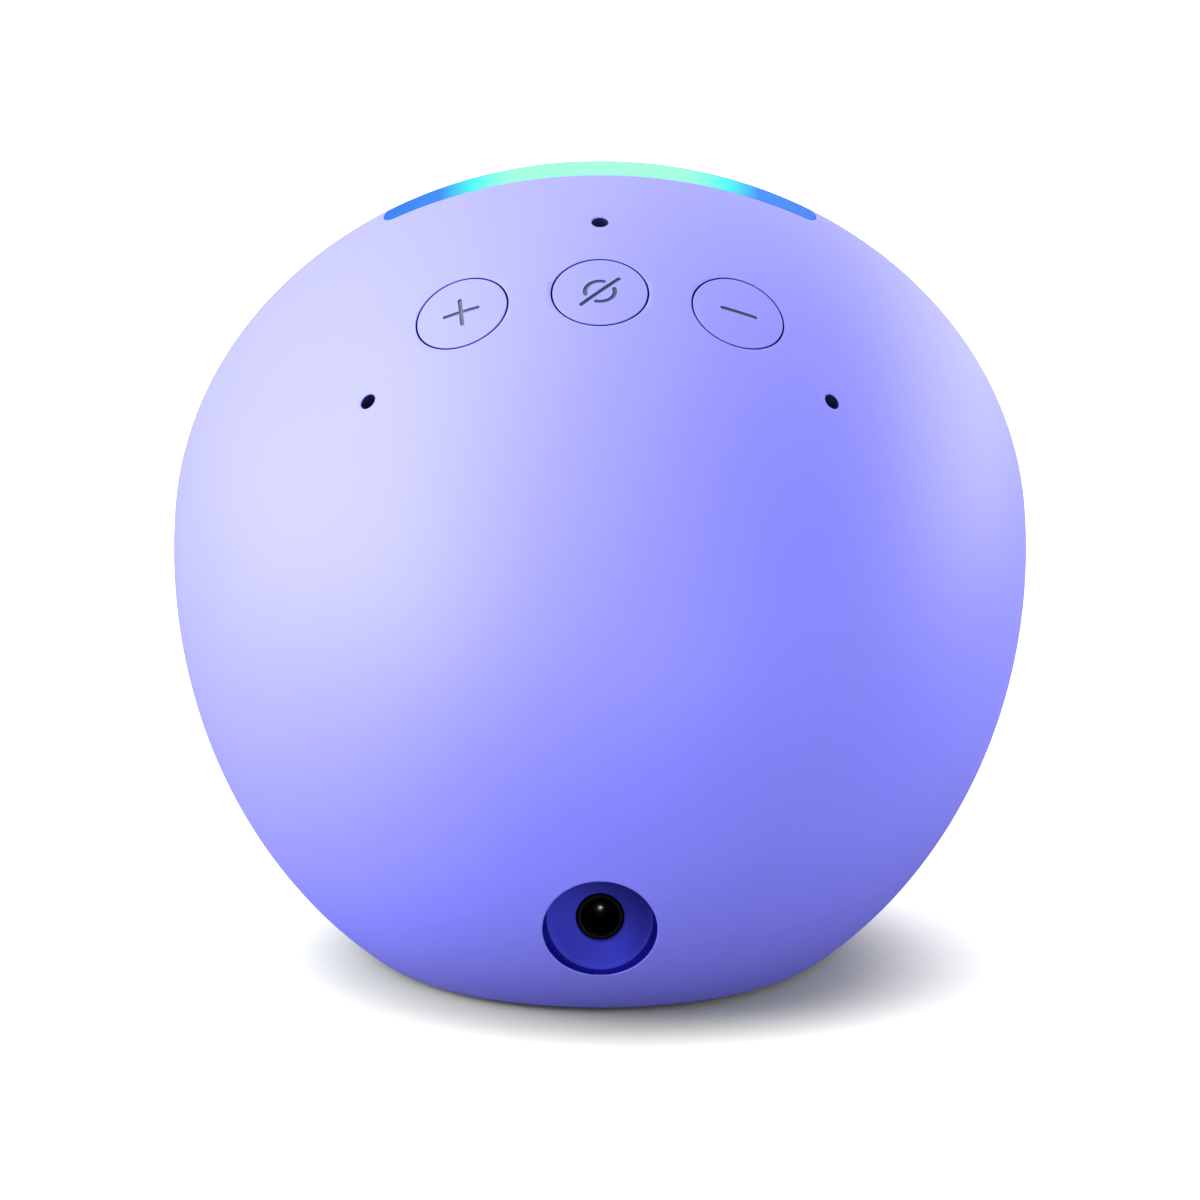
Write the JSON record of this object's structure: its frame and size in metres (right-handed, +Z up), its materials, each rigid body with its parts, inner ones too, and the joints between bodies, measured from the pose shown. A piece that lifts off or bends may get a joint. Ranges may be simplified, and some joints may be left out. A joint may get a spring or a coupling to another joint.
{
  "type": "smart speaker",
  "caption": "Round table-top smart speaker: leaning cloth disc front, deep smooth dome back, light bar on the rim, press buttons on top and a power socket low at the back.",
  "frame": {"origin": "on the table, under the middle of the speaker's bounding box", "axes": "+Z up, -Y out of the cloth front, +Y towards the dome and its power socket, +X along the front's width, on the side of the plus button"},
  "size_m": [0.099, 0.0831, 0.091],
  "materials": {
    "shell_plastic": "fine satin lavender blue moulding",
    "button_plastic": "fine satin lavender blue moulding with grey filled marks",
    "cloth": "close knitted lavender blue cloth",
    "diffuser": "milky light diffuser, lit blue to mint",
    "clear_plastic": "clear moulded light guide",
    "black_plastic": "matt black moulding",
    "dark_rubber": "dark soft rubber",
    "circuit_board": "green solder-masked glass laminate",
    "steel": "plated steel",
    "aluminium": "plain sheet aluminium",
    "copper": "bare copper",
    "ferrite": "sintered ferrite",
    "cone_paper": "pressed black paper",
    "amber_laminate": "amber film or resin-dipped cloth",
    "white_plastic": "white moulding or silicone"
  },
  "bodies": {
    "housing": {"rear_shell": "shell_plastic", "base_plate": "black_plastic", "foot_pad": "dark_rubber", "base_screw_1": "steel", "base_screw_2": "steel", "base_screw_3": "steel", "front_fabric": "cloth", "front_grille": "black_plastic", "light_bar": "diffuser", "light_guide": "clear_plastic", "led_board": "circuit_board", "led_1": "white_plastic", "led_2": "white_plastic", "led_3": "white_plastic", "led_4": "white_plastic", "led_5": "white_plastic", "plus_switch": "black_plastic", "mute_switch": "black_plastic", "minus_switch": "black_plastic", "button_board": "circuit_board", "mic_boot_top": "dark_rubber", "mic_boot_left": "dark_rubber", "mic_boot_right": "dark_rubber", "mic_top": "steel", "mic_left": "steel", "mic_right": "steel", "acoustic_chamber": "black_plastic", "chamber_gasket": "dark_rubber", "driver_basket": "steel", "driver_surround": "dark_rubber", "driver_spider": "amber_laminate", "driver_top_plate": "steel", "driver_magnet": "ferrite", "driver_yoke": "steel", "driver_terminal": "amber_laminate", "driver_screw_1": "steel", "driver_screw_2": "steel", "driver_screw_3": "steel", "driver_screw_4": "steel", "main_board": "circuit_board", "shield_can": "steel", "thermal_pad": "white_plastic", "heat_spreader": "aluminium", "antenna_left": "copper", "antenna_right": "copper", "dc_jack": "black_plastic", "dc_pin": "steel", "speaker_cable": "dark_rubber", "ribbon_cable": "amber_laminate", "power_cable": "dark_rubber"},
    "plus_key": {"plus_button": "button_plastic", "plus_plunger": "white_plastic"},
    "mute_key": {"mute_button": "button_plastic", "mute_plunger": "white_plastic"},
    "minus_key": {"minus_button": "button_plastic", "minus_plunger": "white_plastic"},
    "cone_unit": {"driver_cone": "cone_paper", "driver_dust_cap": "cone_paper", "voice_coil": "copper"}
  },
  "joints": [
    {"name": "plus_press", "type": "slide", "parent": "housing", "child": "plus_key", "axis": [-0.3233, -0.5193, -0.7911], "range_m": [0, 0.0005], "stiffness_N_per_m": 1200},
    {"name": "mute_press", "type": "slide", "parent": "housing", "child": "mute_key", "axis": [0, -0.5365, -0.8439], "range_m": [0, 0.0005], "stiffness_N_per_m": 1200},
    {"name": "minus_press", "type": "slide", "parent": "housing", "child": "minus_key", "axis": [0.3233, -0.5193, -0.7911], "range_m": [0, 0.0005], "stiffness_N_per_m": 1200},
    {"name": "cone_travel", "type": "slide", "parent": "housing", "child": "cone_unit", "axis": [0, -0.9511, 0.309], "range_m": [-0.002, 0.002], "stiffness_N_per_m": 1500, "deforming": ["driver_surround", "driver_spider"]}
  ]
}
